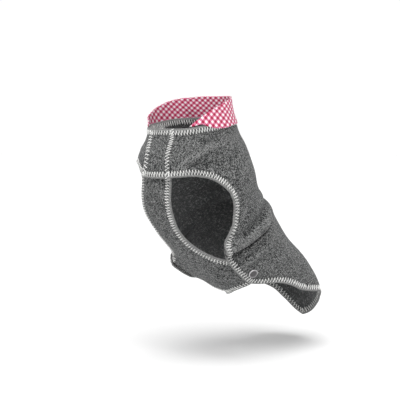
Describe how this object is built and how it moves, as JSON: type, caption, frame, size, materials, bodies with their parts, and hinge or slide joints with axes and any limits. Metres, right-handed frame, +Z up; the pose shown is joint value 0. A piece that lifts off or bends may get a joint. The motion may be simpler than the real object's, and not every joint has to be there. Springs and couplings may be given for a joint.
{
  "type": "dog winter coat",
  "caption": "Hollow wrap coat for a small dog, in its worn shape: back panel with side flaps, chest straps, overlapping front tab, belly panel and neck collar.",
  "frame": {"origin": "at the withers, on the spine, where the inner face of the back panel rests on the dog", "axes": "+Z up; -Y towards the dog's head, so +Y towards the tail; +X to the dog's left"},
  "size_m": [0.1312, 0.2776, 0.2913],
  "materials": {
    "back_panel": "charcoal heather fleece jersey with off-white edge stitching",
    "closure_tab": "charcoal heather fleece jersey with off-white edge stitching",
    "belly_panel": "charcoal heather fleece jersey with off-white edge stitching",
    "collar": "red and white woven gingham",
    "snaps": "dull grey ring snap"
  },
  "bodies": {
    "root": {"back_panel": "back_panel", "closure_tab": "closure_tab", "belly_panel": "belly_panel", "collar": "collar", "snap_cap_left": "snaps", "snap_cap_right": "snaps", "snap_stud_left": "snaps", "snap_stud_right": "snaps"}
  },
  "joints": []
}
